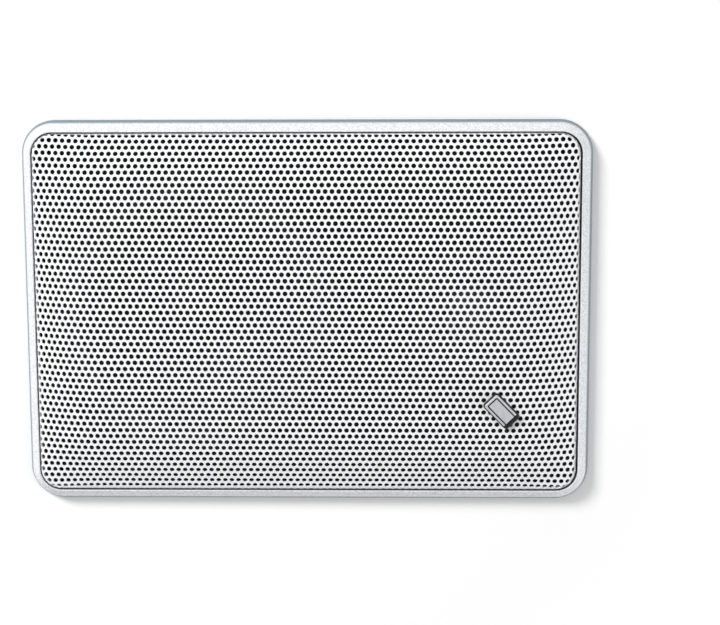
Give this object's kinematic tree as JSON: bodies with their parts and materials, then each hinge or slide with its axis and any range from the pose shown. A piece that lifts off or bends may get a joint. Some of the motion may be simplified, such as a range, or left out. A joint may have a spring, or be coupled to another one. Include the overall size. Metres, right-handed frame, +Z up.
{
  "type": "flush-mount loudspeaker",
  "caption": "Rectangular flush-mount loudspeaker: rounded moulded rim, pillow-shaped perforated metal grille, and a woofer and tweeter on a chassis behind it.",
  "frame": {"origin": "centre of the rim outline on the mounting plane behind the rim", "axes": "+X across the face to the right as seen from the front, +Z up, the face looks along -Y and +Y points into the wall"},
  "size_m": [0.29, 0.0805, 0.1966],
  "materials": {
    "rim_paint": "fine silver-white speckled satin",
    "chassis_black": "moulded matt black",
    "grille_white": "white powder coat",
    "badge_metal": "satin face, dark groove and sides",
    "gasket_foam": "closed-cell foam",
    "spring_steel": "black phosphate",
    "basket_black": "moulded matt black",
    "cone_black": "satin polypropylene",
    "surround_rubber": "moulded rubber",
    "spider_cloth": "resin-stiffened cloth",
    "coil_copper": "enamelled wire",
    "former_aluminium": "plain foil",
    "plated_steel": "zinc plated",
    "magnet_ferrite": "ground ferrite",
    "screw_black": "black oxide",
    "board_brown": "phenolic board",
    "tab_tin": "tinned",
    "dome_cloth": "coated silk",
    "capacitor_film": "wrapped film",
    "resistor_ceramic": "cement body",
    "bobbin_plastic": "moulded"
  },
  "bodies": {
    "panel": {"bezel": "rim_paint", "chassis": "chassis_black", "mounting_gasket": "gasket_foam", "grille_clips": "spring_steel", "woofer_basket": "basket_black", "woofer_surround": "surround_rubber", "woofer_spider": "spider_cloth", "woofer_gasket_ring": "gasket_foam", "woofer_top_plate": "plated_steel", "woofer_magnet": "magnet_ferrite", "woofer_yoke": "plated_steel", "woofer_screws": "screw_black", "woofer_terminal_board": "board_brown", "woofer_tabs": "tab_tin", "tweeter_faceplate": "basket_black", "tweeter_surround": "dome_cloth", "tweeter_top_plate": "plated_steel", "tweeter_magnet": "magnet_ferrite", "tweeter_yoke": "plated_steel", "tweeter_screws": "screw_black", "tweeter_terminal_board": "board_brown", "tweeter_tabs": "tab_tin", "crossover_board": "board_brown", "crossover_screws": "plated_steel", "crossover_capacitor": "capacitor_film", "inductor_bobbin": "bobbin_plastic", "inductor_winding": "coil_copper", "crossover_resistor": "resistor_ceramic", "input_tabs": "tab_tin"},
    "grille_cover": {"grille": "grille_white", "badge": "badge_metal", "badge_nuts": "spring_steel"},
    "woofer_diaphragm": {"woofer_cone": "cone_black", "woofer_dust_cap": "cone_black", "woofer_former": "former_aluminium", "woofer_coil": "coil_copper"},
    "tweeter_diaphragm": {"tweeter_dome": "dome_cloth", "tweeter_coil": "coil_copper"}
  },
  "joints": [
    {"name": "woofer_excursion", "type": "slide", "parent": "panel", "child": "woofer_diaphragm", "axis": [0, -1, 0], "range_m": [-0.0035, 0.0035], "stiffness_N_per_m": 1200, "deforming": ["woofer_surround", "woofer_spider"]},
    {"name": "tweeter_excursion", "type": "slide", "parent": "panel", "child": "tweeter_diaphragm", "axis": [0, -1, 0], "range_m": [-0.0003, 0.0003], "stiffness_N_per_m": 2000, "deforming": ["tweeter_surround"]},
    {"name": "grille_pull", "type": "slide", "parent": "panel", "child": "grille_cover", "axis": [0, -1, 0], "range_m": [0, 0.04]}
  ]
}
